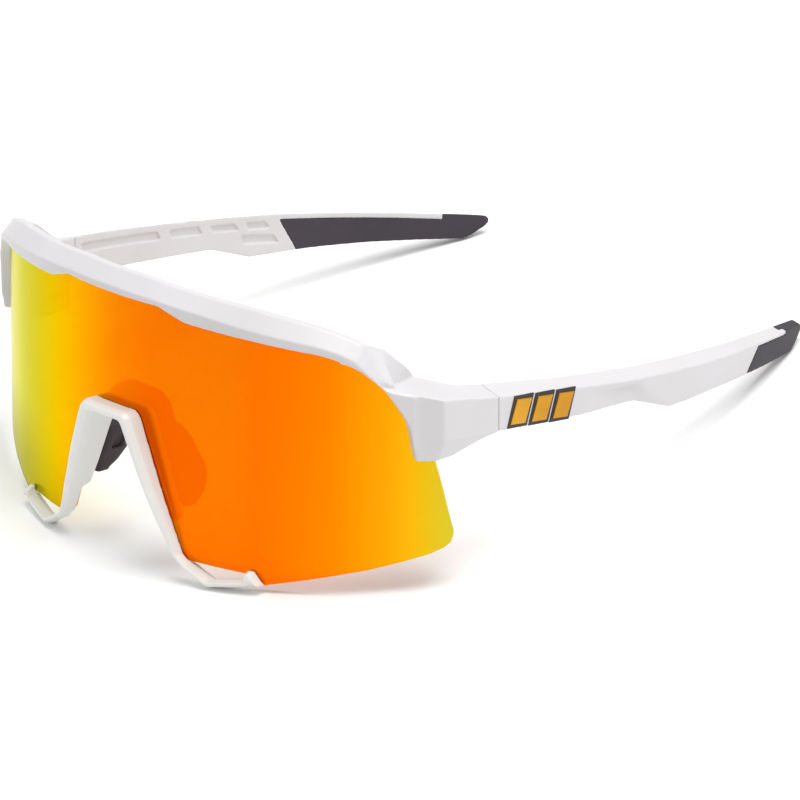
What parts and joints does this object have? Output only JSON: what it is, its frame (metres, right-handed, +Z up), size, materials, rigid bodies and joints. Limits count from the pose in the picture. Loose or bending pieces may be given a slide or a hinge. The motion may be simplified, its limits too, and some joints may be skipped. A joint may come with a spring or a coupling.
{
  "type": "wraparound sport sunglasses",
  "caption": "Wraparound sport sunglasses: white half-rim brow frame, one curved mirrored shield lens, nose guard and folding temples with rubber grips.",
  "frame": {"origin": "centre of the bounding box's footprint, on the table the glasses rest on", "axes": "+X to the wearer's left, +Y back along the open temples, +Z up from the table; the glasses rest on the lower ends of the nose guard and the two temple tips"},
  "size_m": [0.14, 0.1496, 0.0619],
  "materials": {
    "frame_plastic": "satin white moulded nylon",
    "temple_plastic": "satin white moulded nylon",
    "guard_plastic": "satin warm white moulded nylon",
    "mirror_lens": "polycarbonate shield, mirror coating from yellow-green at the ends to deep orange",
    "pad_rubber": "matt dark grey soft rubber",
    "grip_rubber": "matt dark grey soft rubber with small dimples",
    "screw_steel": "plain steel",
    "insert_brass": "plain brass",
    "badge_gold": "gold print with black outline"
  },
  "bodies": {
    "front": {"brow_frame": "frame_plastic", "lens": "mirror_lens", "nose_guard": "guard_plastic", "nose_saddle": "pad_rubber", "nose_pad_left": "pad_rubber", "nose_pad_right": "pad_rubber", "hinge_screw_left": "screw_steel", "hinge_screw_right": "screw_steel", "hinge_insert_left": "insert_brass", "hinge_insert_right": "insert_brass"},
    "temple_left": {"temple_arm_left": "temple_plastic", "temple_grip_left": "grip_rubber", "badge_left": "badge_gold"},
    "temple_right": {"temple_arm_right": "temple_plastic", "temple_grip_right": "grip_rubber", "badge_right": "badge_gold"}
  },
  "joints": [
    {"name": "fold_left", "type": "hinge", "parent": "front", "child": "temple_left", "pos_m": [0.0659, -0.03005, 0.03263], "axis": [0, 0.1865, 0.9825], "range_deg": [0, 88]},
    {"name": "fold_right", "type": "hinge", "parent": "front", "child": "temple_right", "pos_m": [-0.0659, -0.03005, 0.03263], "axis": [0, -0.1865, -0.9825], "range_deg": [0, 75]}
  ]
}
